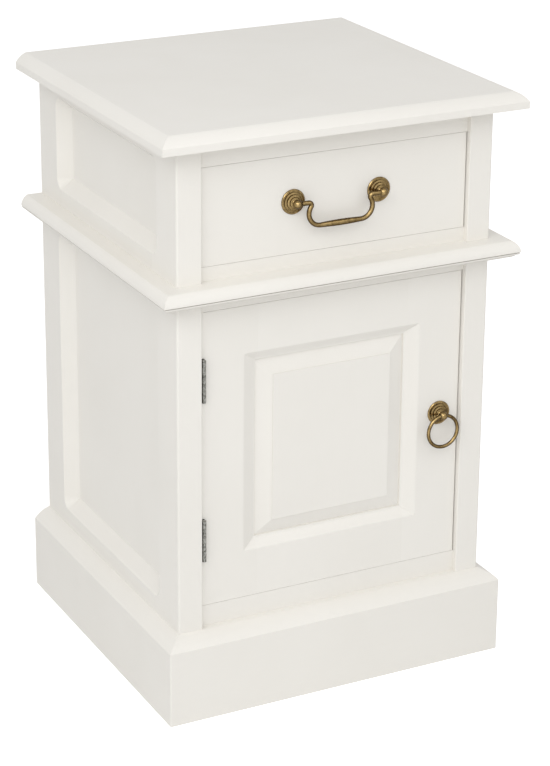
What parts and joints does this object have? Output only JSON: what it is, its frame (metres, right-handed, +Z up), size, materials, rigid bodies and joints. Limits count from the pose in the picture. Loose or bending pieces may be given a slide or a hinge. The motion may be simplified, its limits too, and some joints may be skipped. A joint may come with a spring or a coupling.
{
  "type": "bedside pot cupboard",
  "caption": "Painted bedside pot cupboard with frame-and-panel sides, a drawer with a swinging bail handle above a panelled door with a ring pull, moulded top, waist and plinth.",
  "frame": {"origin": "middle of the top board's footprint, at floor level", "axes": "+Z up, the front with the drawer and the door faces -Y, +X towards the ring pull"},
  "size_m": [0.455, 0.42, 0.7],
  "materials": {
    "painted_wood": "satin off-white paint on wood",
    "bare_pine": "bare planed pine",
    "plywood": "bare plywood",
    "aged_brass": "aged brass, worn bright on the edges",
    "dull_steel": "dull zinc-plated steel",
    "white_plastic": "white moulded plastic"
  },
  "bodies": {
    "case": {"top_board": "painted_wood", "front_post_left": "painted_wood", "front_post_right": "painted_wood", "rear_post_left": "painted_wood", "rear_post_right": "painted_wood", "side_top_rail_left": "painted_wood", "side_top_rail_right": "painted_wood", "side_waist_rail_left": "painted_wood", "side_waist_rail_right": "painted_wood", "side_base_rail_left": "painted_wood", "side_base_rail_right": "painted_wood", "side_upper_panel_left": "painted_wood", "side_upper_panel_right": "painted_wood", "side_lower_panel_left": "painted_wood", "side_lower_panel_right": "painted_wood", "front_top_rail": "painted_wood", "front_divider_rail": "painted_wood", "front_base_rail": "painted_wood", "rear_top_rail": "bare_pine", "rear_base_rail": "bare_pine", "back_panel": "plywood", "waist_moulding_front": "painted_wood", "waist_moulding_left": "painted_wood", "waist_moulding_right": "painted_wood", "plinth_front": "painted_wood", "plinth_left": "painted_wood", "plinth_right": "painted_wood", "dust_panel": "plywood", "drawer_runner_left": "bare_pine", "drawer_runner_right": "bare_pine", "drawer_kicker": "bare_pine", "drawer_stop_blocks": "bare_pine", "cupboard_floor": "bare_pine", "case_screws": "dull_steel", "hinge_post_leaves": "dull_steel", "hinge_pins": "dull_steel", "hinge_post_screws": "dull_steel", "magnetic_catch": "white_plastic"},
    "drawer": {"drawer_front": "painted_wood", "drawer_side_left": "bare_pine", "drawer_side_right": "bare_pine", "drawer_back": "bare_pine", "drawer_bottom": "plywood", "drawer_turn_button": "bare_pine", "drawer_screws": "dull_steel", "handle_plate_left": "aged_brass", "handle_plate_right": "aged_brass", "handle_bolts": "dull_steel"},
    "bail": {"drawer_bail": "aged_brass"},
    "door": {"door_stile_left": "painted_wood", "door_stile_right": "painted_wood", "door_rail_top": "painted_wood", "door_rail_bottom": "painted_wood", "door_panel": "painted_wood", "hinge_door_leaves": "dull_steel", "hinge_door_screws": "dull_steel", "ring_plate": "aged_brass", "ring_bolt": "dull_steel", "catch_strike": "dull_steel"},
    "ring": {"door_ring": "aged_brass"}
  },
  "joints": [
    {"name": "drawer_slide", "type": "slide", "parent": "case", "child": "drawer", "axis": [0, -1, 0], "range_m": [0, 0.293]},
    {"name": "bail_swing", "type": "hinge", "parent": "drawer", "child": "bail", "pos_m": [0, -0.186, 0.5995], "axis": [-1, 0, 0], "range_deg": [-17, 197]},
    {"name": "door_hinge", "type": "hinge", "parent": "case", "child": "door", "pos_m": [-0.1647, -0.1778, 0.31], "axis": [0, 0, -1], "range_deg": [0, 180]},
    {"name": "ring_swing", "type": "hinge", "parent": "door", "child": "ring", "pos_m": [0.1415, -0.186, 0.314], "axis": [-1, 0, 0], "range_deg": [-14, 194]}
  ]
}
